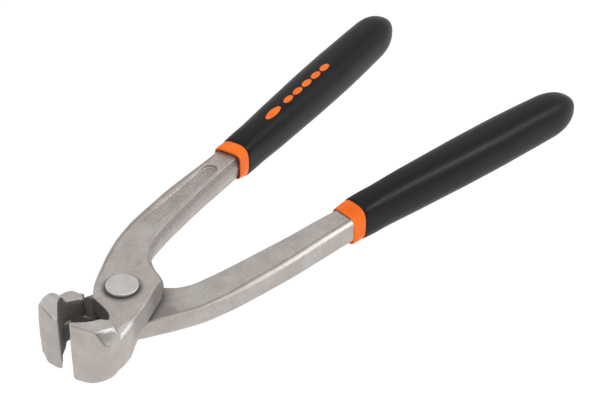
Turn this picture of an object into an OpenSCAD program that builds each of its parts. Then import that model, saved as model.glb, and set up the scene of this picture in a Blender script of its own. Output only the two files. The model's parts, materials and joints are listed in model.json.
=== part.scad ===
// End cutting nippers, tower pincer pattern, 250 mm.
// The rivet axis is Z and the origin is the centre of the rivet's upper face.
// The handles run towards +Y and the jaws towards -Y.
// The upper lever carries the jaw on +X and the grip on -X. The lower lever is the
// same forging turned half a turn about Y. The jaws are drawn slightly open.

/* [Overall] */
// Distance from the rivet axis to the end of the grips, along Y
handle_length = 220.5; // [205:0.5:240]
// Distance of each grip's end from the middle plane, along X, as drawn
handle_spread = 50; // [44:0.5:58]

/* [Jaws] */
// Width of the jaws and of the cutting edges, along Z
jaw_width = 25.4; // [23:0.2:28]
// Distance from the rivet axis to the cutting edges, along Y
jaw_reach = 29; // [28:0.5:31]
// Gap between the two cutting edges as drawn
jaw_gap = 6.2; // [4:0.2:8]

/* [Joint] */
// Thickness of each lap plate
plate_thick = 8.5; // [7.5:0.5:9.5]
// Clearance between the two lap plates
lap_gap = 0.1; // [0.06:0.02:0.2]
// Diameter of the raised face on which each plate bears
boss_d = 20.4; // [16:0.2:20.8]
// Height of that face above the rest of the plate's inner side
boss_height = 0.7; // [0.4:0.1:1]
// Diameter of the rivet's shank
rivet_d = 9; // [7:0.5:10]
// Diameter of the rivet's two heads
head_d = 12.7; // [11.5:0.1:14]
// Height of a rivet head above its plate
head_height = 1.6; // [1:0.1:2]
// Radial clearance of the shank in the upper lever
bore_clearance = 0.05; // [0.02:0.01:0.1]

/* [Reins] */
// Width of the rein where it enters the collar
rein_width = 11.4; // [10:0.1:12]
// Thickness of the rein where it enters the collar, along Z
rein_thick = 10.1; // [9.4:0.1:10.8]
// Bevel along the edges of the rein
rein_bevel = 1.3; // [0.8:0.1:1.6]
// Depth of the oblong recess in the rein's face
recess_depth = 0.9; // [0.4:0.1:1.4]
// Width of that recess
recess_width = 5.6; // [4:0.1:6]

/* [Grips] */
// Largest width of a grip, in the plane of the levers
grip_width = 18.4; // [18:0.1:20]
// Largest height of a grip, along Z
grip_height = 19.4; // [19:0.1:21]
// Length of the collar that shows in front of the grip
collar_length = 5.4; // [4.6:0.2:7]

/* [Hidden] */
$fn = 48;

steel = "#b8b2ad";
polished = "#c4bfba";
black = "#2b2b2c";
orange = "#f26a22";

// The collar's front lip sits here, and the grip's axis runs from here to its tip
collar_y = 90;
collar_x = handle_spread - (handle_length - collar_y) * tan(8.6);
grip_angle = atan((handle_spread - collar_x) / (handle_length - collar_y));
grip_length = norm([handle_spread - collar_x, handle_length - collar_y]);
half_jaw = jaw_width / 2;
half_gap = lap_gap / 2;
// Clearance under the rivet head of the moving upper lever
head_gap = 0.04;
// Height of the rivet's upper face above the plane where the two plates meet
rivet_top = plate_thick + head_gap + head_height;
edge = [jaw_gap / 2, -jaw_reach];
tang_length = grip_length - 22;
// Height of the rein's middle above the plane where the plates meet, at the collar
rein_lift = 0.35;

// Smooth rise from 0 to 1 as t goes from 0 to 1
function ease(t) = let (u = min(max(t, 0), 1)) u * u * (3 - 2 * u);
// Value at s of the straight lines through the points [[s, value], ...]
function along(points, s) = lookup(s, points);
// Share of the way from the joint (0) to the collar (1)
function rein_share(y) = sin(90 * min(max((y - 20) / (collar_y - 20), 0), 1));

// --- the rein, drawn for the grip side -X and written with x positive ---

// Outer edge of the lever from the mouth to the collar, as x at each y
outer_line = [[-10.8, 4.4], [-6, 8.5], [-1.5, 11.6], [3, 14.2], [8, 17], [15, 20.4],
    [22, 23.4], [30, 26.4], [39, 28.9], [50, 31.3], [60, 33], [75, 34.8], [90, 36.3]];
// Inner edge of the lever from the back of the lap plate to the collar
inner_line = [[13.3, -7.1], [15.1, -3.3], [16.4, 0.2], [17.6, 2.6], [19.2, 4.6], [21.2, 6.3],
    [23.5, 7.9], [27, 10], [36, 13.2], [50, 17.1], [67, 21.1], [90, 24.9]];

function rein_outer(y) = y > collar_y
    ? collar_x + (y - collar_y) * tan(grip_angle) + tang_half(y)
    : along(outer_line, y) + (rein_width - 11.4) / 2 * rein_share(y);
function rein_inner(y) = y > collar_y
    ? collar_x + (y - collar_y) * tan(grip_angle) - tang_half(y)
    : along(inner_line, y) - (rein_width - 11.4) / 2 * rein_share(y);
function tang_half(y) = rein_width / 2 - 1.9 * ease((y - collar_y) / (tang_length * 0.9));
function rein_top(y) = plate_thick - (plate_thick - rein_lift - rein_thick / 2) * rein_share(y)
    - 1.6 * ease((y - collar_y) / (tang_length * 0.9));
function rein_bottom(y) = boss_height - (boss_height - rein_lift + rein_thick / 2) * rein_share(y)
    + 1.6 * ease((y - collar_y) / (tang_length * 0.9));
// The inner bevel widens into a draft at the back of the lap plate
function inner_bevel(y) = rein_bevel + 0.9 * (1 - rein_share(y)) + 1.6 * (1 - ease((y - 16.5) / 7));
// The outer bevel fades out towards the lap plate
function outer_bevel(y) = rein_bevel * (0.1 + 0.9 * ease((y - 12) / 30));

// Eight corners of the rein's cross-section at one y, x negative for the upper lever
function rein_section(y) = let (
    o = -rein_outer(y), i = -rein_inner(y), t = rein_top(y), b = rein_bottom(y),
    ob = outer_bevel(y), ib = inner_bevel(y), drop = rein_bevel)
    [[o + ob, y, t], [o, y, t - ob], [o, y, b + ob], [o + ob, y, b],
     [i - ib, y, b], [i, y, b + drop], [i, y, t - drop], [i - ib, y, t]];

rein_stations = concat([13.3, 14.2, 15.1, 16.4, 17.6, 18.4, 19.2, 20.2, 21.2, 22.3, 23.5, 25],
    [for (y = [27:3:87]) y], [for (y = [90:9:89 + tang_length]) y]);

// A closed skin over equal rings of points
module skin(rings) {
    n = len(rings[0]);
    last = len(rings) - 1;
    side = [for (k = [0:last - 1]) for (j = [0:n - 1])
        [k * n + j, k * n + (j + 1) % n, (k + 1) * n + (j + 1) % n, (k + 1) * n + j]];
    first = [for (j = [0:n - 1]) n - 1 - j];
    end = [for (j = [0:n - 1]) last * n + j];
    polyhedron([for (r = rings) for (p = r) p], concat([first], side, [end]), convexity = 4);
}

module rein() {
    skin([for (y = rein_stations) rein_section(y)]);
}

// --- the lap plate and the jaw of the upper lever ---

// The lap plate: round mouth side, outer edge of the lever, straight cut side on +X
plate_outline = concat(
    [for (p = outer_line) if (p[0] < 14) [-p[1], p[0]]],
    [[-19.6, 13.4], [6.9, 13.4], [7, 12.2], [12.8, -1.5], [14.1, -5.2], [15.5, -8.6],
     [16.4, -12], [17.2, -17], [17.4, -20], [8.9, -20], [8.3, -15.2], [6.7, -13.6],
     [4.5, -12.7], [1.1, -11.8]]);

// Neck and jaw seen from above, from the cutting edge round the outer side
jaw_outline = [edge, [edge[0] + 1.3, edge[1] - 0.9], [edge[0] + 10, edge[1] + 1.6],
    [16.6, -25.9], [18, -24.2], [18.2, -21.5], [17.6, -17], [16.4, -12], [15.4, -9.6],
    [12.6, -9.9], [9.4, -10.6], [7.8, -12], [8, -14.4], [9.5, -16.4], [10.3, -18.6],
    [10.1, -20.8], [8.2, -23.6]];

// Jaw block from the side, as [y, z]: full width in front, lower over the neck
jaw_profile = [[-32, -half_jaw], [-20.2, -half_jaw], [-18.8, -6.8], [-9, -6.8],
    [-9, plate_thick], [-17.3, plate_thick], [-18.8, half_jaw], [-32, half_jaw]];

// Jaw block from the front: its lower edge curves up towards the outer side
jaw_face = [[0, -half_jaw], [6, -half_jaw], [9, 0.4 - half_jaw], [11.6, 1.1 - half_jaw],
    [14, 2.3 - half_jaw], [16, 4.2 - half_jaw], [17.2, 6.4 - half_jaw],
    [18.2, 8.6 - half_jaw], [18.3, half_jaw], [0, half_jaw]];

module jaw_block() {
    intersection() {
        translate([0, 0, -half_jaw - 1]) linear_extrude(jaw_width + 2) polygon(jaw_outline);
        rotate([90, 0, 90]) linear_extrude(40) polygon(jaw_profile);
        rotate([90, 0, 0]) linear_extrude(40) polygon(jaw_face);
    }
}

// The hollow flank between the top face of the jaw and its ground side
module hollow_flank() {
    translate([13.9, -27.2, 11.3]) rotate([0, 0, -27]) translate([9.9, 0, 0])
        rotate([90, 0, 0]) cylinder(r = 10, h = 40, center = true);
}

// Bevel along the neck's lower outer edge
module neck_bevel() {
    translate([11.5, -18.8, -6.8]) rotate([0, -22, 0]) translate([0, 0, -5]) cube([12, 12, 5]);
}

// Oblong recess in the top face of the rein
module recess_cut() {
    low = [-22.1, 37.8];
    high = [-29.3, 78.4];
    span = norm(high - low);
    drop = rein_top(low[1]) - rein_top(high[1]);
    translate([low[0], low[1], rein_top(low[1]) - recess_depth])
        rotate([0, 0, atan2(low[0] - high[0], high[1] - low[1])]) rotate([-atan(drop / span), 0, 0]) {
            cylinder(d = recess_width, h = 4);
            translate([0, span, 0]) cylinder(d = recess_width, h = 4);
            translate([-recess_width / 2, 0, 0]) cube([recess_width, span, 4]);
        }
}

// One forging: jaw, lap plate, rein and tang. bore is the diameter of its rivet hole
module lever(bore) {
    difference() {
        union() {
            rein();
            translate([0, 0, boss_height]) linear_extrude(plate_thick - boss_height)
                polygon(plate_outline);
            translate([0, 0, half_gap]) cylinder(d = boss_d, h = plate_thick / 2);
            jaw_block();
        }
        translate([0, 0, -1]) cylinder(d = bore, h = plate_thick + 2);
        hollow_flank();
        neck_bevel();
        recess_cut();
    }
}

// Moves the origin from the plane where the plates meet to the rivet's upper face
module seated() {
    translate([0, 0, -rivet_top]) children();
}

module turned() {
    rotate([0, 180, 0]) children();
}

module upper_lever() {
    color(steel) seated() lever(rivet_d + 2 * bore_clearance);
}

module lower_lever() {
    color(steel) seated() turned() lever(rivet_d);
}

module rivet() {
    color(polished) seated() {
        translate([0, 0, -plate_thick - head_height / 2])
            cylinder(d = rivet_d, h = 2 * plate_thick + head_gap + head_height);
        translate([0, 0, plate_thick + head_gap]) cylinder(d = head_d, h = head_height);
        translate([0, 0, -plate_thick - head_height]) cylinder(d = head_d, h = head_height);
    }
}

// --- the grip and its collar, drawn along the grip's own axis ---

// Half width and half height of the grip at each distance from the collar's lip
grip_halves = [[5, 7.5, 8.8], [14, 7.9, 9.3], [34, 8.4, 9.8], [64, 9.4, 10.1],
    [85, 9.7, 10.1], [104, 9.3, 10], [118, 9, 9.7]];
function half_width(s) = lookup(s, [for (p = grip_halves) [p[0], p[1]]]) * grip_width / 19.4;
function half_height(s) = lookup(s, [for (p = grip_halves) [p[0], p[2]]]) * grip_height / 20.2;
// The grip is squarer round the collar than further back
function grip_squareness(s) = 2.4 + 0.7 * (1 - ease((s - 6) / 14));
// The rounded end: 1 until cap_length from the tip, then down to 0
cap_length = 16;
function cap(s) = let (u = max(0, (s - grip_length + cap_length) / cap_length))
    pow(max(0, 1 - pow(u, 2.2)), 0.5);

// A rounded oblong ring of half sizes w and h at distance s along +Y, raised by lift
function ring(s, w, h, squareness = 2.4, lift = 0) = [for (k = [0:35]) let (
    c = cos(k * 10), q = sin(k * 10), e = 2 / squareness)
    [sign(c) * w * pow(abs(c), e), s, lift + sign(q) * h * pow(abs(q), e)]];

grip_stations = concat([for (s = [0:2:12]) collar_length + s],
    [for (s = [28:12:112]) s], [for (a = [0:12:84]) grip_length - cap_length + cap_length * sin(a)]);

module on_grip_axis() {
    translate([-collar_x, collar_y, 0]) rotate([0, 0, grip_angle]) children();
}

// Straight bar with the tang's section, a hair larger, to clear the pocket
module tang_pocket(clear) {
    skin([for (y = [84, collar_y, collar_y + 20, collar_y + 60, 90 + tang_length + 1])
        pocket_section(y, clear)]);
}
function pocket_section(y, c) = let (s = rein_section(y))
    [[s[0][0] - c, y, s[0][2] + c], [s[1][0] - c, y, s[1][2] + c / 2],
     [s[2][0] - c, y, s[2][2] - c / 2], [s[3][0] - c, y, s[3][2] - c],
     [s[4][0] + c, y, s[4][2] - c], [s[5][0] + c, y, s[5][2] - c / 2],
     [s[6][0] + c, y, s[6][2] + c / 2], [s[7][0] + c, y, s[7][2] + c]];

module grip() {
    difference() {
        on_grip_axis() skin([for (s = grip_stations)
            ring(s, half_width(s) * cap(s), half_height(s) * cap(s), grip_squareness(s))]);
        on_grip_axis() collar_solid(0.1);
        tang_pocket(0.1);
    }
}

// Tapered collar in front, thin inner sleeve inside the grip behind it
module collar_solid(clear) {
    skin([for (p = [[0, 5.9, 6.6, 0.5], [0.6, 6.4, 7.1, 0.5], [collar_length, 6.7, 7.9, 0],
        [collar_length + 30, 6.7, 7.9, 0]])
        ring(p[0] - (p[0] > 20 ? -clear : clear), p[1] + clear, p[2] + clear, 3, p[3])]);
}

module collar() {
    difference() {
        on_grip_axis() collar_solid(0);
        tang_pocket(0.2);
    }
}

module upper_grip() {
    color(black) seated() grip();
}

module lower_grip() {
    color(black) seated() turned() grip();
}

module upper_collar() {
    color(orange) seated() collar();
}

module lower_collar() {
    color(orange) seated() turned() collar();
}

upper_lever();
lower_lever();
rivet();
upper_grip();
lower_grip();
upper_collar();
lower_collar();
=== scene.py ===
# End cutting nippers, 250 mm: the looks. Built in metres in the CAD frame, whose origin is
# the centre of the rivet's upper face. The shapes below are worked out in millimetres from
# the plane where the two lap plates meet, for the lever whose jaw is on +X and whose grip
# is on -X. The other lever is built the same way and turned half a turn about Y.
import json
import math
import bpy
import numpy as np
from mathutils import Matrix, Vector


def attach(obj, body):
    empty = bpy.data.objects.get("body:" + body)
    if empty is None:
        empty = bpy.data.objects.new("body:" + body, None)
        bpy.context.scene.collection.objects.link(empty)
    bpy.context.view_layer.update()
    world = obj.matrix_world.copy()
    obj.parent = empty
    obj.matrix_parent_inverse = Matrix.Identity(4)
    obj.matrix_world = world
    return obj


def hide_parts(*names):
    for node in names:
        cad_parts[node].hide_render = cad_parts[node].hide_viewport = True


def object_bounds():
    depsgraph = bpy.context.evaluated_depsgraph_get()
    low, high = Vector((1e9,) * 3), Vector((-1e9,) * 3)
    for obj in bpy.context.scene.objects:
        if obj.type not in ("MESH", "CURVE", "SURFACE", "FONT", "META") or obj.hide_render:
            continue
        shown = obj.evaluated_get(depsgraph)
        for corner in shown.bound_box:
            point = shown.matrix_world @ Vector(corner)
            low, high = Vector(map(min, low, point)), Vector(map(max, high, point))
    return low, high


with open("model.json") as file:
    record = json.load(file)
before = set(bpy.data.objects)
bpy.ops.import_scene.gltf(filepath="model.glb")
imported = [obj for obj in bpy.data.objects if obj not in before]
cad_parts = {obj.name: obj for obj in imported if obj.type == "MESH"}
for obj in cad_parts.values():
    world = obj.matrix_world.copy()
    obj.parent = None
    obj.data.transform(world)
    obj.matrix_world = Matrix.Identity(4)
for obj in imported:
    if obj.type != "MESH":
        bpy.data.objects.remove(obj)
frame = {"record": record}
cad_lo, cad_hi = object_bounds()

import openvdb
from mathutils import Matrix, Vector

MM = 0.001
LAP_Z = frame["record"]["behaviour"]["joints"][0]["pos_m"][2] / MM      # where the plates meet
VOXEL = 0.42                # size of the cells in which the forgings are worked out

# The grip's axis runs from the collar's lip to the grip's tip
COLLAR_Y = 90.0
GRIP_ANGLE = math.radians(8.6)
GRIP_END = (50.0, 220.5)
GRIP_START = (GRIP_END[0] - (GRIP_END[1] - COLLAR_Y) * math.tan(GRIP_ANGLE), COLLAR_Y)
GRIP_LENGTH = math.hypot(GRIP_END[0] - GRIP_START[0], GRIP_END[1] - GRIP_START[1])

# The forging
PLATE_TOP = 8.5
PLATE_BOTTOM = 0.7
REIN_TOP = 5.4
REIN_BOTTOM = -4.7
TANG_END = COLLAR_Y + 100
TANG_HALF = 5.4
TANG_TAPER = 0.012          # lost from the half width for each mm of length
TANG_THINNING = 1.6         # lost from the top and from the bottom, at the far end
BEVEL_WIDTH = 1.3           # of the bevels along the inner side
BEVEL_DEPTH = 4.7
HALF_JAW = 12.7
JAW_FRONT = -29.88          # nothing of the jaw is further forward
INSIDE_CAD = 0.01           # the looks stay this far inside the CAD's top and bottom
FRONT_SLOPE = 0.2865        # the ground front runs back this much for each mm outwards
FRONT_Y = -30.6             # where the front's plane would cross the middle of the tool
NECK_BOTTOM = -6.85
BOSS_RADIUS = 10.2
BORE_RADIUS = 4.55
FLANK_NORMAL = (0.7565, -0.3703, 0.5391)
FLANK_POINT = (14.3, -26.92, HALF_JAW)
DENT_POINT = (17.0, -24.2, 9.6)
RECESS = ((-22.1, 37.8), (-29.3, 78.4))
RECESS_RADIUS = 3.0
MOUTH_Y = -19               # the middle of the mouth
FAR = 20                    # a distance that means nowhere near


# ---------------------------------------------------------------- numbers to shapes

def ease(t):
    """0 to 1 with soft ends as t goes from 0 to 1."""
    t = np.clip(t, 0, 1)
    return t * t * (3 - 2 * t)


def rise(value, start, width):
    """0 up to start, then smoothly up to 1 over width."""
    return ease((value - start) / width)


def fall(value, end, width):
    """1 at first, then smoothly down over width to 0 at end."""
    return ease((end - value) / width)


def band(value, middle, half, peak=1):
    """Highest at the middle, and down to 0 on both sides of it."""
    return np.clip(peak - np.abs(value - middle) / half, 0, 1)


def largest(*fields):
    """The largest of the fields at each point: what is inside all of them."""
    out = fields[0]
    for field in fields[1:]:
        out = np.maximum(out, field)
    return out


def smax(a, b, k):
    """The larger of a and b with their meeting rounded off over k."""
    h = np.clip(0.5 + 0.5 * (a - b) / k, 0, 1)
    return b + (a - b) * h + k * h * (1 - h)


def smin(a, b, k):
    return -smax(-a, -b, k)


def round_max(a, b, r):
    """The corner between the two faces, rounded with radius r."""
    corner = np.sqrt(np.maximum(a + r, 0) ** 2 + np.maximum(b + r, 0) ** 2)
    return np.minimum(np.maximum(a, b), -r) + corner


def bevel_between(side, face, off_face, off_side):
    """The flat that takes off_face from the face and off_side from the side."""
    return (off_side * (side + off_face) + off_face * face) / np.sqrt(off_face ** 2 + off_side ** 2)


def curve(points, n=8):
    """A smooth line through the points (Catmull-Rom), n pieces for each gap."""
    p = [np.array(q, float) for q in points]
    p = [2 * p[0] - p[1]] + p + [2 * p[-1] - p[-2]]
    out = []
    for i in range(1, len(p) - 2):
        for k in range(n):
            t = k / n
            out.append(0.5 * (2 * p[i] + (p[i + 1] - p[i - 1]) * t
                       + (2 * p[i - 1] - 5 * p[i] + 4 * p[i + 1] - p[i + 2]) * t * t
                       + (3 * p[i] - p[i - 1] - 3 * p[i + 1] + p[i + 2]) * t ** 3))
    out.append(p[-2])
    return [tuple(q) for q in out]


def outline_distance(points, u, v):
    """Signed distance from (u, v) to a closed outline, negative inside."""
    best = np.full(np.broadcast(u, v).shape, 1e9, np.float32)
    inside = np.zeros(best.shape, bool)
    n = len(points)
    for i in range(n):
        (ax, ay), (bx, by) = points[i], points[(i + 1) % n]
        ex, ey = bx - ax, by - ay
        size = ex * ex + ey * ey
        if size < 1e-12:
            continue
        t = np.clip(((u - ax) * ex + (v - ay) * ey) / size, 0, 1)
        best = np.minimum(best, (u - ax - t * ex) ** 2 + (v - ay - t * ey) ** 2)
        if abs(ey) > 1e-12:
            inside ^= ((ay > v) != (by > v)) & (u < ax + (v - ay) * ex / ey)
    best = np.sqrt(best)
    return np.where(inside, -best, best).astype(np.float32)


# ---------------------------------------------------------------- the forging's lines

outer_points = [(-4.4, -10.8), (-8.5, -6), (-11.6, -1.5), (-14.2, 3), (-17, 8), (-20.4, 15),
                (-23.4, 22), (-26.4, 30), (-28.9, 39), (-31.3, 50), (-33, 60), (-34.8, 75),
                (-36.3, 90)]
inner_points = [(-24.9, 90), (-21.1, 67), (-17.1, 50), (-13.2, 36), (-10, 27), (-7.9, 23.5),
                (-6.3, 21.2), (-4.6, 19.2), (-2.6, 17.6), (-0.2, 16.4), (3.3, 15.1)]
tang = [(-GRIP_START[0] - (y - COLLAR_Y) * math.tan(GRIP_ANGLE), TANG_HALF - TANG_TAPER * (y - COLLAR_Y), y)
        for y in (100, 130, TANG_END)]
tang_out = [(x - half, y) for x, half, y in tang]
tang_in = [(x + half, y) for x, half, y in reversed(tang)]
mouth_edge = curve([(8.6, -15.6), (8.1, -14.9), (6.7, -13.7), (4.5, -12.7), (1.1, -11.9), (-4.4, -10.8)])

# everything to the +X side of the outer edge and behind the mouth's edge
outside_edge = ([(60, -60), (8.9, -60)] + mouth_edge + curve(outer_points)[1:] + tang_out
                + [(60, TANG_END)])
# everything to the -X side of the inner edge and of the cut side
inside_edge = ([(-90, -60), (-90, TANG_END)] + tang_in + curve(inner_points)
               + curve([(6.2, 13.6), (7.2, 12.6), (7.6, 11.4)], 4)
               + [(13.2, -2.2), (14.1, -5.2), (15.3, -8.8), (16.1, -12), (17.6, -17), (18.6, -21),
                  (19, -60)])

# the jaws seen from above: the shared cutting edge and mouth, and each one's own outer side
mouth_wall = curve([(12.6, -8.8), (9.4, -10.2), (7.8, -12), (7.9, -14.2), (9.2, -16.4),
                    (10.1, -18.6), (9.9, -20.8), (8.0, -24), (5.6, -26.6), (3.3, -28.7)])
cutting_edge = curve([(3.1, -28.95), (3.6, -29.5), (4.7, -29.85)], 3)
upper_plan = (cutting_edge + [(15.8, -26.67)]
              + curve([(16.1, -26.58), (17.7, -26), (18.7, -24.9), (19, -23.3), (18.8, -20.8),
                       (18.1, -17.2), (17.2, -14.2), (16.4, -12), (15.6, -9.6), (14.8, -7.2),
                       (13.8, -6.2)])
              + mouth_wall)
lower_plan = (cutting_edge + [(13.6, -27.3)]
              + curve([(13.9, -27.2), (15.6, -26.4), (16.8, -25), (17.4, -23.4), (17.6, -21.4),
                       (17.3, -18), (16.8, -14.6), (16.4, -12), (15.6, -9.6), (14.8, -7.2),
                       (13.8, -6.2)])
              + mouth_wall)
# the raised top of the jaw ends at this line towards the rivet
top_back = curve([(22, -21.4), (17.2, -21), (16.3, -19.9), (14.3, -18.9), (12.6, -19.2),
                  (10.9, -20.2), (8, -22)]) + [(0, -25), (0, -60), (40, -60), (40, -21)]
# on the face away from the lap plate the forging ends in two round-edged lobes, the jaw's and
# the neck's; these are their outlines before the front and the mouth were cut
upper_lobe = ([(-8, -38), (6, -36), (11, -32)]
              + curve([(13.7, -28.4), (15.1, -26), (16, -23.5), (16.3, -21.2), (15.9, -19.5),
                       (14.6, -18.4), (12.6, -18), (10, -18.7)])
              + [(4, -21), (-8, -21)])
lower_lobe = ([(-8, -34), (3, -31.2)]
              + curve([(6.5, -29.4), (10, -28.5), (13, -27.9), (14.9, -26.8), (16, -25.2), (16.5, -23),
                       (16.2, -20.8), (15.2, -19.4), (13.6, -18.8), (11.6, -18.7), (9.4, -19.2)])
              + [(4, -21.6), (-8, -22)])
upper_neck = ([(-4, -26), (19, -26), (19, -19)]
              + curve([(18.6, -17), (18, -14.8), (17.2, -12.9), (16.2, -11.2), (14.9, -10.2),
                       (13.2, -9.8), (11.4, -9.9), (9.2, -10.7), (7.4, -11.9)])
              + [(5, -13.4), (-4, -13.4)])
lower_neck = ([(-4, -26), (17.6, -26), (17.5, -19)]
              + curve([(17.2, -17), (17, -14.8), (16.7, -12.9), (16, -11.2), (14.8, -10.1),
                       (13.2, -9.7), (11.4, -9.7), (9.2, -10.3), (7.4, -11.4)])
              + [(5, -13), (-4, -13)])
# how low the neck reaches at each y behind its lobe
neck_rear = ((-14, -5.2), (-12, -4.8), (-10, -4.1), (-8, -3), (-6, -2.2), (-4, 0.3))


# ---------------------------------------------------------------- the forging as a distance field

xs = np.arange(-56, 19.6, VOXEL, dtype=np.float32)
ys = np.arange(-31.5, TANG_END + 1.5, VOXEL, dtype=np.float32)
zs = np.arange(-14, 14.01, VOXEL, dtype=np.float32)
X, Y, Z = xs[:, None, None], ys[None, :, None], zs[None, None, :]
grid = (len(xs), len(ys), len(zs))


def noise(cell, seed):
    """Smooth random values from -1 to 1 over the grid, with lumps about cell mm across."""
    rng = np.random.default_rng(seed)
    field = rng.uniform(-1, 1, [int(n * VOXEL / cell) + 3 for n in grid]).astype(np.float32)
    for k, n in enumerate(grid):
        pos = np.arange(n) * VOXEL / cell
        i = pos.astype(int)
        f = ease((pos - i).astype(np.float32))
        shape = [1, 1, 1]
        shape[k] = n
        f = f.reshape(shape)
        field = np.take(field, i, axis=k) * (1 - f) + np.take(field, i + 1, axis=k) * f
    return field


def plan_distance(outline):
    return outline_distance(outline, xs[:, None], ys[None, :])[:, :, None]


def rein_share(y):
    """Share of the way from the joint (0) to the collar (1)."""
    return np.sin(np.pi / 2 * np.clip((y - 20) / (COLLAR_Y - 20), 0, 1))


def recess_share(u, v):
    """Share of the way along the recess, from its end near the joint."""
    (ax, ay), (bx, by) = RECESS
    span = math.hypot(bx - ax, by - ay)
    return np.clip(((u - ax) * (bx - ax) + (v - ay) * (by - ay)) / span ** 2, 0, 1)


def build_bar(grain):
    """Plate, rein and tang, and the distances to their faces."""
    outer, inner = plan_distance(outside_edge), plan_distance(inside_edge)
    share = rein_share(Y)
    into = rise(Y, COLLAR_Y, 90)
    top = PLATE_TOP - (PLATE_TOP - REIN_TOP) * share - TANG_THINNING * into
    bottom = PLATE_BOTTOM - (PLATE_BOTTOM - REIN_BOTTOM) * share + TANG_THINNING * into
    # the cut side of the plate leans out towards the lap, and the crotch behind it bulges
    flare = np.minimum(0.13 * np.clip(PLATE_TOP - Z, 0, 8), 1) * fall(Y, 15.5, 3)
    waist = 0.9 * fall(Z, PLATE_TOP, 3.5) * rise(Y, 11, 3) * fall(Y, 22.5, 4)
    inner = inner - np.maximum(flare, waist)
    up, down = Z - top, bottom - Z
    bar = smax(smax(smax(outer, inner, 0.6), up, 0.35), down, 0.5)
    # bevels along the inner side: one above, two below
    width = BEVEL_WIDTH * rise(Y, 10.6, 2.2)
    depth = BEVEL_DEPTH - 2.4 * (1 - rise(Y, 15, 10))
    bevel = bevel_between(inner, up, width, depth)
    bevel_low = np.maximum(bevel_between(inner, down, width, BEVEL_WIDTH),
                           bevel_between(inner, down, 0.7 * width, depth))
    # small flats along the outer side
    edge = 0.25 + rise(Y, 14, 30)
    edge_top = (outer + up + edge) / math.sqrt(2)
    edge_low = (outer + down + edge) / math.sqrt(2)
    bar = largest(bar, bevel + 0.07 * grain, bevel_low + 0.05 * grain, edge_top + 0.03 * grain,
                  edge_low + 0.03 * grain)
    bar = np.where(Y < -22, np.float32(FAR), bar)
    return bar, {"top": up, "bottom": down, "outer": outer, "inner": inner, "bevel": bevel,
                 "edge_top": edge_top, "edge_low": edge_low}


def build_jaw(plan, jaw_lobe, neck_lobe, flank_depth, front_swell, grain):
    """Jaw and neck, and the distances to the rim of the mouth and to the hollow flank."""
    # the neck's sides lean in above the lap, and the front of a swelled jaw bulges
    side = plan_distance(plan)
    side = side + 0.11 * np.clip(Z - 1, 0, 9) * rise(Y, -19.5, 2.5)
    bulge = 0.85 * np.exp(-((X - 9.2) / 4.2) ** 2) * rise(Z, -3, 12)
    bulge = bulge + 0.3 * np.exp(-((X - 15.8) / 2.6) ** 2) * rise(Z, -10, 9)
    side = side - front_swell * fall(Y, -24.6, 2.6) * rise(X, 4, 4) * bulge
    # the two lobes of the face away from the lap plate, and the slope behind them
    jaw_side = plan_distance(jaw_lobe) - 0.4 * np.clip(Z + 9.5, 0, 12)
    lobes = smin(round_max(jaw_side, -HALF_JAW - Z, 5.0),
                 round_max(plan_distance(neck_lobe), NECK_BOTTOM - Z, 2.7), 0.5)
    rear = np.interp(ys, [y for y, z in neck_rear], [z for y, z in neck_rear])[None, :, None] - Z
    lobes = smin(lobes, np.where(Y > -14, rear, 6), 0.8)
    # the neck as high as the plate, and the jaw's raised top in front of it
    shell = smax(np.where(Z < 2, smax(side, lobes, 0.5), side), side, 0.01)
    back = (plan_distance(top_back) - 0.34 * (HALF_JAW - Z)) / 1.06 + 0.08 * grain
    neck = smax(shell, Z - PLATE_TOP, 0.2)
    tower = smax(smax(shell, Z - HALF_JAW, 0.15), back, 0.2)
    jaw = smin(neck, tower, 0.02 + 0.6 * fall(Z, 7.5, 2))
    # the rough bevel along the neck's edge at the mouth, on the face away from the plate
    rim = (side + (-6.9 - Z) + 1.1) / math.sqrt(2) + 0.10 * grain
    rim = np.where((Y > -19.4) & (X < 11), rim, -FAR)
    # the hollow forged flank that the ground front and outer side left at the jaw's top corner
    (nx, ny, nz), (fx, fy, fz), (dx, dy, dz) = FLANK_NORMAL, FLANK_POINT, DENT_POINT
    dent = 0.7 * np.exp(-((X - dx) ** 2 + (Y - dy) ** 2 + (Z - dz) ** 2) / 7)
    flank = nx * (X - fx) + ny * (Y - fy) + nz * (Z - fz) + dent - flank_depth
    flank = np.where(Z > 2, flank + 0.05 * grain, -FAR)
    return largest(jaw, rim, flank), {"rim": rim, "flank": flank}


def build_recess(top, grain):
    """The long recess in the rein's upper face, and the distance to its side."""
    (ax, ay), (bx, by) = RECESS
    share = recess_share(X, Y)
    slot = np.sqrt((X - ax - share * (bx - ax)) ** 2 + (Y - ay - share * (by - ay)) ** 2) - RECESS_RADIUS
    depth = 0.62 + 0.2 * share + 0.75 * rise(share, 0.90, 0.10)
    return smax(slot, 0.05 * grain - (top + depth), 0.25), slot


def to_mesh(solid):
    """Vertices in cells and in mm, and the quads."""
    volume = openvdb.FloatGrid(3.0)
    volume.copyFromArray(np.clip(solid, -3, 3).astype(np.float32))
    index, _, quads = volume.convertToPolygons(isovalue=0.0, adaptivity=0.0)
    index = np.asarray(index, float)
    verts = index * VOXEL + np.array([xs[0], ys[0], zs[0]])
    verts = np.clip(verts, (-90, JAW_FRONT, INSIDE_CAD - HALF_JAW), (90, 300, HALF_JAW - INSIDE_CAD))
    return index, verts, np.asarray(quads)


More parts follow.
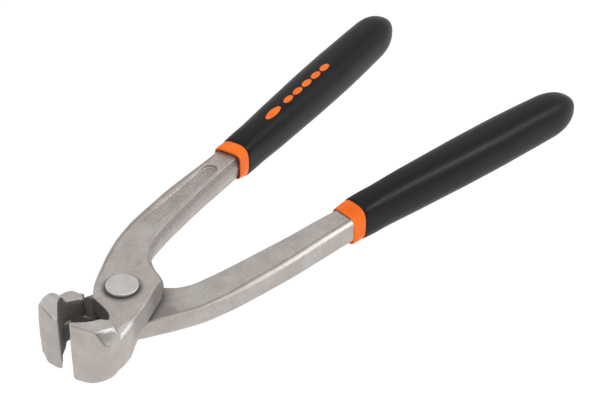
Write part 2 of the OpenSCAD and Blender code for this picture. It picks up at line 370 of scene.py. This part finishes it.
def sample(fields, index):
    """The value of each field at each vertex, from the eight corners of its cell."""
    cell = np.clip(np.floor(index).astype(int), 0, np.array(grid) - 2)
    part = (index - cell).astype(np.float32)
    out = dict.fromkeys(fields, 0)
    for corner in range(8):
        step = np.array([corner & 1, corner >> 1 & 1, corner >> 2 & 1])
        weight = np.prod(np.where(step, part, 1 - part), axis=1)
        i, j, k = (cell + step).T
        for name, field in fields.items():
            out[name] = out[name] + weight * np.broadcast_to(field, grid)[i, j, k]
    return out


def vertex_normals(verts, quads):
    """Unit normal at each vertex, pointing out of the solid."""
    a, b, c, d = (verts[quads[:, k]] for k in range(4))
    across = np.repeat(np.cross(c - a, d - b), 4, axis=0)
    total = np.stack([np.bincount(quads.ravel(), across[:, k], len(verts)) for k in range(3)], 1)
    return total / np.maximum(np.linalg.norm(total, axis=1), 1e-12)[:, None]


def steel_marks(verts, facing, at, swelled):
    """For each vertex: how rough, stamped and ground the steel is, and its painted highlight, painted sheen
    and painted shade (with some grime).
    """
    x, y, z = verts.T
    along = recess_share(x, y)
    near_top = at["top"] > -2.5
    below_jaw_top = HALF_JAW - z
    on_flank = rise(at["flank"], -0.5, 0.3) * fall(z, 13.1, 0.4)
    on_bar = rise(y, -4, 8) * fall(y, 103, 3)

    # forge scale: the bevels of the inner side, the flank, the mouth's rim
    bevels = rise(at["bevel"], -0.45, 0.3) * rise(y, 11.5, 4) * fall(at["top"], -0.1, 0.2)
    bevels *= fall(y, 104, 4) * (1 - 0.8 * fall(at["top"], -2.2, 1.2) * rise(y, 22, 8))
    flank_scale = on_flank * fall(x - 0.3 * below_jaw_top, 17.6, 2) * fall(z, 12.4, 0.5)
    rim = band(at["rim"], 0, 0.6) * rise(y, -19.4, 1) * fall(z, -4, 1)
    rough = largest(0.9 * bevels, 0.8 * flank_scale, 0.7 * rim)

    # the worn stipple on the recess's floor
    stamp = fall(at["slot"], 0, 0.4) * fall(at["top"], -0.12, 0.15) * near_top
    stamp = stamp * (0.35 + 0.65 * rise(along, 0.08, 0.25))

    # painted highlights along the edges: the jaw's top edge, the neck's edge, the outer flat by the joint
    # and the mouth's rim
    top_edge_highlight = on_flank * rise(z + 0.9 * rise(x, 14.6, 1.6), 12.2, 0.5)
    neck_edge_highlight = band(z, PLATE_TOP - 0.8, 0.9, 1.3) * rise(x, 14.4, 0.8)
    neck_edge_highlight *= rise(y, -20, 1) * fall(y, -9, 4)
    joint_edge_highlight = rise(y, -2, 5) * fall(y, 34, 12) * rise(at["edge_top"], -0.2, 0.15)
    rim_highlight_line = band(at["rim"], 0, 0.4) * fall(z, -6.2, 0.4) * rise(y, -19.4, 1)
    painted_highlight = np.clip(largest(top_edge_highlight, neck_edge_highlight, 0.6 * joint_edge_highlight, 0.55 * rim_highlight_line), 0, 1)

    # painted shade, with some darker scale, on the inner walls of the jaw and of the plate that look at the
    # middle of the mouth; painted shade along the plate's outer side at the mouth and on the neck's rear
    # side
    to_middle = -x * facing[:, 0] - (y - MOUTH_Y) * facing[:, 1]
    to_middle /= np.maximum(np.hypot(x, y - MOUTH_Y), 0.1)
    front = y - FRONT_SLOPE * x
    hollow_shade_and_scale = rise(to_middle, 0.1, 0.4) * fall(x, 11.6, 0.8) * rise(y, -28.9, 0.4) * fall(y, -8.5, 1.5)
    hollow_shade_and_scale *= rise(front, FRONT_Y, 0.5) * fall(z, HALF_JAW - 0.1, 0.25)
    hollow_shade_and_scale *= fall(np.abs(facing[:, 2]), 0.8 + 0.2 * (np.abs(z) < 10), 0.3)
    mouth = band(at["outer"], 0, 0.9) * rise(y, -15.8, 0.5) * fall(y, -9.5, 3)
    mouth *= rise(x, -6, 1) * fall(z, PLATE_TOP - 0.2, 0.3)
    neck_rear_shade = fall(facing[:, 0], -0.3, 0.3) * fall(np.abs(facing[:, 2]), 0.85, 0.2)
    neck_rear_shade *= rise(y, -20, 1) * fall(y, -7, 2) * fall(z, 0.4, 0.4) * fall(x, 13.5, 1)
    # painted shade: along the lap, round the rivet's head with some grime, next to the other lever's plate,
    # and on the plate's cut side
    lap = fall(np.abs(z), 0.9, 0.4) * rise(y, -11, 3) * fall(y, 13, 2)
    lap_shade_at_mouth = fall(np.abs(z), 1.1, 0.3) * rise(y, -13, 1) * fall(y, -3.2, 1.5)
    lap_shade_at_mouth *= rise(x, 1, 1) * fall(facing[:, 2], -0.3, 0.3)
    rivet_shade_and_grime = np.clip(1 - (np.hypot(x, y) - 6.4) / 2, 0, 1) ** 1.3 * (z > PLATE_TOP - 0.6)
    other = np.maximum(*(outline_distance([(-a, b) for a, b in edge], x, y)
                         for edge in (inside_edge, outside_edge)))
    shade_by_other_plate = np.clip(1 - other / 8, 0, 1) ** 1.8 * fall(np.abs(at["bottom"]), 0.7, 0.5)
    shade_by_other_plate *= (y > -12) * fall(y, 26, 12)
    cut = fall(np.abs(at["inner"]), 0.6, 0.4) * rise(y, -14, 6) * fall(y, 22, 6)
    cut *= fall(z, PLATE_TOP - 0.1, 0.2) * (0.3 + 0.25 * rise(y, -2, 8))
    # painted shade: thin lines along the small flats, the recess's near end, the flank's left part, and
    # thin lines along the jaw's ground faces
    crease_shade = np.maximum(band(at["edge_top"], -0.5, 0.3, 1.5) * rise(at["top"], -0.35, 0.2),
                        band(at["edge_low"], -0.5, 0.3, 1.5) * rise(at["bottom"], -0.35, 0.2))
    crease_shade *= on_bar
    recess_end_shade = band(at["slot"], -0.25, 0.5) * fall(along, 0.3, 0.3) * near_top
    recess_end_shade *= fall(at["top"], -0.05, 0.15)
    flank_shade = on_flank * fall(x - 0.5 * below_jaw_top, 15.7, 1.8) * rise(z, 4.5, 2)
    cap_shade_line = band(z, HALF_JAW - 0.25, 0.3) * fall(front, FRONT_Y, 0.4) * rise(x, 3.6, 0.8)
    lobe_shade_line = swelled * band(z, -9.9, 0.35) * rise(x, 4.6, 0.8) * fall(x, 13.4, 1.5)
    lobe_shade_line *= fall(y, -26.4, 0.6)
    # painted shade: the swelled jaw's front a little darker
    swelled_front = swelled * fall(y, -26, 1) * rise(z, -10.2, 0.5)
    shade_and_grime = largest(0.93 * hollow_shade_and_scale, 0.9 * mouth, 0.75 * neck_rear_shade,
                   0.6 * lap, 0.9 * lap_shade_at_mouth, 0.9 * rivet_shade_and_grime, 0.75 * shade_by_other_plate, cut,
                   0.42 * crease_shade, 0.4 * recess_end_shade, 0.45 * flank_shade, 0.5 * cap_shade_line,
                   0.7 * lobe_shade_line, 0.07 * swelled_front)

    ground = fall(y, -19.5, 2) * (1 - on_flank)
    # painted sheen: lighter bands on the small flats along the rein's edges and on the swelled jaw's lobe
    # face
    on_edges = np.maximum(rise(at["edge_top"], -0.25, 0.2), rise(at["edge_low"], -0.25, 0.2)) * on_bar
    lobe_face = swelled * fall(z, -9.9, 0.8) * fall(y, -22, 2)
    painted_sheen = np.maximum(0.12 * on_edges, 0.35 * lobe_face) * (1 - hollow_shade_and_scale)
    return {"rough": rough, "painted_highlight": painted_highlight, "shade_and_grime": shade_and_grime, "stamp": stamp, "ground": ground,
            "painted_sheen": painted_sheen}


def build_forging(plan, jaw_lobe, neck_lobe, flank_depth, front_swell, seed):
    """One lever: its vertices and faces, and the marks of its surface."""
    grain = (noise(1.2, seed) + noise(0.6, seed + 1)) * 0.5
    swell = noise(8, seed + 2)
    from_pivot = np.hypot(X, Y)
    bar, fields = build_bar(grain)
    # the raised bearing face round the rivet, towards the other lever
    boss = largest(from_pivot - BOSS_RADIUS, 0.05 - Z, Z - 4)
    jaw, jaw_fields = build_jaw(plan, jaw_lobe, neck_lobe, flank_depth, front_swell, grain)
    solid = smin(smin(bar, boss, 0.3), jaw, 0.02 + 0.8 * fall(Z, 7.5, 2))
    solid = np.maximum(solid, BORE_RADIUS - from_pivot)
    recess, slot = build_recess(fields["top"], grain)
    solid = smax(solid, -recess, 0.12) + 0.06 * swell

    index, verts, quads = to_mesh(solid)
    at = sample({**fields, **jaw_fields, "slot": slot}, index)
    marks = steel_marks(verts, vertex_normals(verts, quads), at, front_swell > 0)
    return (verts, quads), marks


# ---------------------------------------------------------------- materials

class Shader:
    """One material's nodes, with short ways to add the kinds that are used here."""

    def __init__(self, name):
        self.material = bpy.data.materials.new(name)
        self.material.use_nodes = True
        self.nodes = self.material.node_tree.nodes
        self.link = self.material.node_tree.links.new

    def node(self, kind, **values):
        n = self.nodes.new(kind)
        for key, value in values.items():
            if key in n.inputs:
                n.inputs[key].default_value = value
            else:
                setattr(n, key, value)
        return n

    def surface(self, **values):
        """Give the surface's inputs numbers, or link other nodes' outputs to them."""
        inputs = self.nodes["Principled BSDF"].inputs
        for key, value in values.items():
            socket = inputs[key.replace("_", " ")]
            if isinstance(value, bpy.types.NodeSocket):
                self.link(value, socket)
            else:
                socket.default_value = value

    def noise(self, scale, detail, roughness=0.5):
        n = self.node("ShaderNodeTexNoise", Scale=scale, Detail=detail, Roughness=roughness)
        self.link(self.node("ShaderNodeTexCoord").outputs["Object"], n.inputs["Vector"])
        return n.outputs["Fac"]

    def mark(self, name):
        """The values stored on the mesh under this name."""
        return self.node("ShaderNodeAttribute", attribute_name=name).outputs["Fac"]

    def ramp(self, source, stops):
        n = self.node("ShaderNodeValToRGB")
        while len(n.color_ramp.elements) < len(stops):
            n.color_ramp.elements.new(0.5)
        for element, (position, color) in zip(n.color_ramp.elements, stops):
            element.position = position
            element.color = (*color, 1)
        self.link(source, n.inputs["Fac"])
        return n.outputs["Color"]

    def grey_ramp(self, source, stops):
        return self.ramp(source, [(position, (grey, grey, grey)) for position, grey in stops])

    def spread(self, source, low, high, start=0.0, end=1.0):
        """The source's values from start to end, spread from low to high."""
        n = self.node("ShaderNodeMapRange")
        for key, value in (("From Min", start), ("From Max", end), ("To Min", low), ("To Max", high)):
            n.inputs[key].default_value = value
        self.link(source, n.inputs["Value"])
        return n.outputs["Result"]

    def mix(self, amount, first, second, blend="MIX"):
        """From the first colour to the second, which is an output or a plain colour."""
        n = self.node("ShaderNodeMix", data_type="RGBA", blend_type=blend)
        self.link(amount, n.inputs[0])
        self.link(first, n.inputs[6])
        if isinstance(second, bpy.types.NodeSocket):
            self.link(second, n.inputs[7])
        else:
            n.inputs[7].default_value = (*second, 1)
        return n.outputs[2]

    def mix_to_number(self, amount, first, number):
        n = self.node("ShaderNodeMix", data_type="FLOAT")
        self.link(amount, n.inputs[0])
        self.link(first, n.inputs[2])
        n.inputs[3].default_value = number
        return n.outputs[0]

    def times(self, first, second):
        n = self.node("ShaderNodeMath", operation="MULTIPLY")
        self.link(first, n.inputs[0])
        self.link(second, n.inputs[1])
        return n.outputs[0]

    def bump(self, height, distance, strength=1.0):
        n = self.node("ShaderNodeBump", Distance=distance, Strength=strength)
        self.link(height, n.inputs["Height"])
        return n


def steel():
    """Drop forged steel: satin ground faces, rougher scale, painted shade with some grime, painted
    highlights and painted sheen.
    """
    s = Shader("forged_steel")
    mottle, grain, lumps = s.noise(110, 4, 0.6), s.noise(1600, 3, 0.65), s.noise(1900, 2, 0.55)
    tone = s.ramp(mottle, [(0.30, (0.40, 0.355, 0.33)), (0.5, (0.465, 0.425, 0.40)),
                           (0.72, (0.53, 0.50, 0.475))])
    speck = s.grey_ramp(grain, [(0.32, 0.80), (0.62, 1.06)])
    color = s.mix(s.spread(s.mark("ground"), 0.75, 0.15), tone, speck, "MULTIPLY")
    scale = s.ramp(lumps, [(0.30, (0.25, 0.23, 0.217)), (0.58, (0.32, 0.296, 0.28)),
                           (0.74, (0.44, 0.42, 0.40))])
    color = s.mix(s.mark("rough"), color, scale)
    stipple = s.grey_ramp(lumps, [(0.36, 0.66), (0.50, 0.88), (0.66, 1.08)])
    color = s.mix(s.mark("stamp"), color, stipple, "MULTIPLY")
    # painted sheen: towards a light grey
    color = s.mix(s.mark("painted_sheen"), color, (0.70, 0.68, 0.66))
    # painted highlights along the edges, mixed towards near white and broken into beads by the lumps noise
    highlight_breakup = s.grey_ramp(lumps, [(0.34, 0.35), (0.56, 1.0)])
    color = s.mix(s.times(s.mark("painted_highlight"), highlight_breakup), color, (0.88, 0.87, 0.85))
    # painted shade, with some grime and scale: towards near black, less metallic and rougher
    shade_and_grime = s.mark("shade_and_grime")
    color = s.mix(shade_and_grime, color, (0.060, 0.055, 0.050))

    fine = s.bump(grain, 0.00008, 0.12)
    coarse = s.bump(lumps, 0.0004)
    s.link(s.mark("rough"), coarse.inputs["Strength"])
    s.link(fine.outputs["Normal"], coarse.inputs["Normal"])
    s.surface(Base_Color=color, Metallic=s.spread(shade_and_grime, 0.75, 0.1),
              Roughness=s.mix_to_number(shade_and_grime, s.spread(mottle, 0.40, 0.54, 0.3, 0.7), 0.9),
              Normal=coarse.outputs["Normal"])
    return s.material


def rivet_steel():
    s = Shader("rivet_steel")
    tone = s.ramp(s.noise(160, 2), [(0.3, (0.52, 0.49, 0.465)), (0.7, (0.60, 0.575, 0.55))])
    grain = s.bump(s.noise(1900, 3, 0.6), 0.00006, 0.12)
    s.surface(Base_Color=tone, Metallic=0.75, Roughness=0.45, Normal=grain.outputs["Normal"])
    return s.material


def black_vinyl():
    s = Shader("black_vinyl")
    wave = s.noise(55, 2)
    tone = s.ramp(wave, [(0.3, (0.0030, 0.0028, 0.0029)), (0.7, (0.0055, 0.0050, 0.0051))])
    pores = s.bump(s.noise(1300, 3, 0.6), 0.0001, 0.22)
    s.surface(Base_Color=tone, Roughness=s.spread(wave, 0.36, 0.46), Specular_IOR_Level=0.20,
              Normal=pores.outputs["Normal"])
    return s.material


def orange_vinyl():
    s = Shader("orange_vinyl")
    tone = s.ramp(s.noise(120, 2), [(0.3, (0.80, 0.130, 0.008)), (0.7, (0.90, 0.175, 0.014))])
    pores = s.bump(s.noise(900, 3, 0.6), 0.0001, 0.12)
    s.surface(Base_Color=tone, Roughness=0.34, Specular_IOR_Level=0.17, Normal=pores.outputs["Normal"])
    return s.material


STEEL, RIVET, BLACK, ORANGE = steel(), rivet_steel(), black_vinyl(), orange_vinyl()


# ---------------------------------------------------------------- grips, collars, rivet

# half width and half height of the grip at each distance from the collar's lip
GRIP_HALF = [(5, 7.05, 8.3), (9, 7.3, 8.7), (16, 7.7, 9.2), (34, 8.4, 9.8), (64, 9.4, 10.1),
             (85, 9.7, 10.1), (104, 9.3, 10), (118, 9, 9.7), (135, 8.9, 9.6)]
WIDTH_SCALE, HEIGHT_SCALE = 18.34 / 19.4, 19.4 / 20.2
COLLAR_LENGTH = 5.8
CAP = 17.5                  # length of the grip's rounded end
RING_STEP = 1.6             # between the rings of points along the grip
PRINT_OUT, PRINT_IN = 0.07, -0.1
PRINT_STEPS = 40


def round_oblong(angle, w, h, power):
    """Point of a rounded oblong of half sizes w and h; the higher the power, the squarer."""
    c, q = math.cos(angle), math.sin(angle)
    return (math.copysign(w * abs(c) ** (2 / power), c), math.copysign(h * abs(q) ** (2 / power), q))


def on_grip_axis(s, across, z):
    """Point of the upper grip at distance s along its axis from the collar's lip."""
    ca, sa = math.cos(GRIP_ANGLE), math.sin(GRIP_ANGLE)
    return (-GRIP_START[0] + across * ca - s * sa, GRIP_START[1] + across * sa + s * ca, z)


def ring(s, w, h, power, lift, n=96):
    points = (round_oblong(2 * math.pi * k / n, w, h, power) for k in range(n))
    return [on_grip_axis(s, across, lift + up) for across, up in points]


def loft(rings, close_start=True, close_end=True):
    """Quads between equal rings of points, with fans at the ends."""
    n = len(rings[0])
    verts = [p for r in rings for p in r]
    faces = []
    for k in range(len(rings) - 1):
        for j in range(n):
            a, b = k * n + j, k * n + (j + 1) % n
            faces.append((a, a + n, b + n, b))
    for end, close, base in ((0, close_start, 0), (-1, close_end, (len(rings) - 1) * n)):
        if close:
            c = len(verts)
            verts.append(tuple(np.mean(rings[end], axis=0)))
            for j in range(n):
                a, b = base + j, base + (j + 1) % n
                faces.append((c, a, b) if end == 0 else (c, b, a))
    return verts, faces


def grip_half(s):
    """Half width and half height of the grip at s, with its rounded end."""
    stations, widths, heights = zip(*GRIP_HALF)
    w, h = np.interp(s, stations, widths), np.interp(s, stations, heights)
    u = max(0.0, (s - GRIP_LENGTH + CAP) / CAP)
    cap = max(0.0, 1 - u ** 2.2) ** 0.5
    return w * WIDTH_SCALE * cap, h * HEIGHT_SCALE * cap


def grip_power(s):
    """How square the grip is at s: more so round the collar."""
    return 2.4 + 0.7 * (1 - float(rise(s, 6, 14)))


def grip_lift(s):
    """Height of the grip's middle above its axis at s."""
    return 0.25 * (1 - float(rise(s, 5, 25))) + 0.3 * float(rise(s, 90, 35))


def make_grip():
    """The black sleeve, whose front edge rolls in over the collar."""
    start, tip = COLLAR_LENGTH, GRIP_LENGTH - 0.02
    w, h = grip_half(start)
    rings = [ring(start + back, w - less, h - less, grip_power(start), grip_lift(start))
             for back, less in ((2.5, 1.2), (0.05, 1.1), (0, 0.45), (0.12, 0.12))]
    straight = GRIP_LENGTH - CAP
    stops = [start + 0.4 + k * RING_STEP for k in range(int((straight - start) / RING_STEP))]
    stops += [straight + CAP * math.sin(math.radians(a)) for a in range(0, 90, 5)]
    rings += [ring(s, *grip_half(s), grip_power(s), grip_lift(s)) for s in stops]
    rings.append(ring(tip, *grip_half(tip), 2.3, grip_lift(GRIP_LENGTH)))
    return loft(rings, close_start=False)


def make_collar():
    """The orange sleeve, from inside its lip, round the lip and on under the black one."""
    # distance, half width, half height, lift, power
    rows = [(4.0, 5.75, 5.5, 0.25, 6), (0.9, 5.75, 5.5, 0.4, 6), (0.15, 5.85, 5.8, 0.8, 5.5),
            (0.0, 6.05, 6.1, 1.05, 5), (0.12, 6.28, 6.32, 1.1, 5), (0.5, 6.42, 6.45, 1.1, 4.5),
            (2, 6.55, 6.85, 0.9, 4), (3.8, 6.6, 7.35, 0.6, 3.5),
            (COLLAR_LENGTH, 6.55, 7.7, 0.25, 3.1), (COLLAR_LENGTH + 2.4, 6.2, 7.2, 0.2, 3.1)]
    rings = [ring(s, w, h, power, lift) for s, w, h, lift, power in rows]
    return loft(rings, close_start=False, close_end=False)


def on_grip_skin(s, angle, out):
    """Point on the grip's skin at s, angle degrees round from the inner side, pushed out by out."""
    w, h = grip_half(s)
    across, up = round_oblong(math.radians(angle), w + out, h + out, grip_power(s))
    return on_grip_axis(s, across, grip_lift(s) + up)


def make_print(ovals):
    """Thin printed ovals on the grip: where each starts and ends, its angle and half width in degrees."""
    verts, faces = [], []
    for start, end, angle, half in ovals:
        rings = []
        for k in range(1, PRINT_STEPS):
            turn = math.pi * k / PRINT_STEPS
            s = start + (end - start) * (0.5 - 0.5 * math.cos(turn))
            angles = [angle + half * math.sin(turn) * t / 4 for t in range(-4, 5)]
            rings.append([on_grip_skin(s, a, PRINT_OUT) for a in angles]
                         + [on_grip_skin(s, a, PRINT_IN) for a in reversed(angles)])
        more_verts, more_faces = loft(rings)
        faces += [tuple(i + len(verts) for i in f) for f in more_faces]
        verts += more_verts
    return verts, faces


def make_rivet(n=96):
    """Flat heads with rolled edges on both ends of the shank."""
    top, bottom = -LAP_Z, -10.10
    shank = 4.5
    # radius, and depth below the head's outer face
    head = [(3, 0), (5.4, 0), (5.8, 0.03), (6.0, 0.12), (6.1, 0.3), (6.15, 0.6), (6.1, 0.95),
            (5.85, 1.3), (5.7, 1.56), (shank, 1.58)]
    profile = [(r, top - d) for r, d in head] + [(shank, 4), (shank, -4)]
    profile += [(r, bottom + d) for r, d in reversed(head)]
    turns = [2 * math.pi * k / n for k in range(n)]
    return loft([[(r * math.cos(a), r * math.sin(a), z) for a in turns] for r, z in profile])


# ---------------------------------------------------------------- pieces

def add_piece(name, shape, material, body, replaced, marks=None, turned=False):
    """A mesh from a shape in mm in the lap plane's frame. turned: half a turn about Y."""
    verts, faces = shape
    v = np.array(verts, float)
    if turned:
        v *= (-1, 1, -1)
    v[:, 2] += LAP_Z
    mesh = bpy.data.meshes.new(name)
    mesh.from_pydata((v * MM).tolist(), [], [list(map(int, f)) for f in faces])
    mesh.materials.append(material)
    mesh.polygons.foreach_set("use_smooth", [True] * len(mesh.polygons))
    for key, values in (marks or {}).items():
        attribute = mesh.attributes.new(key, "FLOAT", "POINT")
        attribute.data.foreach_set("value", np.asarray(values, np.float32))
    mesh.update()
    obj = bpy.data.objects.new(name, mesh)
    bpy.context.scene.collection.objects.link(obj)
    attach(obj, body)
    for node in replaced:
        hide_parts(node)


forgings = {"upper": build_forging(upper_plan, upper_lobe, upper_neck,
                                   flank_depth=0.0, front_swell=0.0, seed=3),
            "lower": build_forging(lower_plan, lower_lobe, lower_neck,
                                   flank_depth=3.5, front_swell=1.7, seed=13)}
for side, (shape, marks) in forgings.items():
    add_piece(side + "_forging", shape, STEEL, side + "_half", [side + "_lever"],
              marks=marks, turned=side == "lower")
for piece, shape, material, node, slot in (("_sleeve", make_grip(), BLACK, "_grip", "black_vinyl"),
                                           ("_ring", make_collar(), ORANGE, "_collar", "orange_vinyl")):
    for side in ("upper", "lower"):
        add_piece(side + piece, shape, material, side + "_half", [side + node], turned=side == "lower")

DOT_PITCH, DOT_LENGTH = 7.3, 6.4
badge = [(26, 36.5, 77, 11)]
dots = [(40 + DOT_PITCH * k, 40 + DOT_PITCH * k + DOT_LENGTH, 78, 8.5) for k in range(5)]
add_piece("upper_badge", make_print(badge), ORANGE, "upper_half", [])
add_piece("upper_dots", make_print(dots), ORANGE, "upper_half", [])
add_piece("rivet_body", make_rivet(), RIVET, "lower_half", ["rivet"])


# ---------------------------------------------------------------- floor, light, camera

FLOOR_HALF = 4
FLOOR_GAP = 0.0005          # between the tool's lowest point and the floor


def add_floor():
    """A plain pale floor that shines a little by itself, so that it stays white."""
    h, z = FLOOR_HALF, cad_lo[2] - FLOOR_GAP
    mesh = bpy.data.meshes.new("floor")
    mesh.from_pydata([(-h, -h, z), (h, -h, z), (h, h, z), (-h, h, z)], [], [(0, 1, 2, 3)])
    white = Shader("floor_white")
    white.surface(Base_Color=(0.06, 0.06, 0.06, 1), Roughness=1.0, Specular_IOR_Level=0.0,
                  Emission_Color=(1, 1, 1, 1), Emission_Strength=1.0)
    mesh.materials.append(white.material)
    obj = bpy.data.objects.new("floor", mesh)
    bpy.context.scene.collection.objects.link(obj)


def add_area(name, place, aim, size, power):
    data = bpy.data.lights.new(name, "AREA")
    data.shape = "RECTANGLE"
    data.size, data.size_y = size
    data.energy = power
    obj = bpy.data.objects.new(name, data)
    obj.location = place
    obj.rotation_euler = (Vector(aim) - Vector(place)).to_track_quat("-Z", "Y").to_euler()
    bpy.context.scene.collection.objects.link(obj)


def add_world():
    world = bpy.data.worlds.new("studio")
    world.use_nodes = True
    background = world.node_tree.nodes["Background"]
    background.inputs["Color"].default_value = (1, 1, 1, 1)
    background.inputs["Strength"].default_value = 0.85
    bpy.context.scene.world = world


def add_camera(place, look, side, lens):
    """look is the way it looks and side the way to the picture's right, made square to it."""
    data = bpy.data.cameras.new("camera")
    data.sensor_width = 36.0
    data.lens = lens
    data.clip_start = 0.01
    obj = bpy.data.objects.new("camera", data)
    obj.location = place
    look = Vector(look).normalized()
    side = Vector(side)
    side = (side - look * side.dot(look)).normalized()
    obj.rotation_euler = Matrix((side, side.cross(look), -look)).transposed().to_euler()
    bpy.context.scene.collection.objects.link(obj)
    bpy.context.scene.camera = obj


tool_centre = (0.0, 0.08, 0.0)
add_floor()
add_world()
add_area("right", (0.70, 0.56, 0.58), tool_centre, (0.5, 0.12), 3.3)
add_area("over", (0.10, -0.10, 0.95), tool_centre, (0.5, 0.5), 1.2)
add_camera((0.3539, -0.3224, 0.3989 + LAP_Z * MM), (-0.5166, 0.6164, -0.5943),
           (0.7644, 0.6447, 0.0042), lens=101.75)
bpy.context.scene.view_settings.view_transform = "Standard"
bpy.context.scene.view_settings.look = "None"
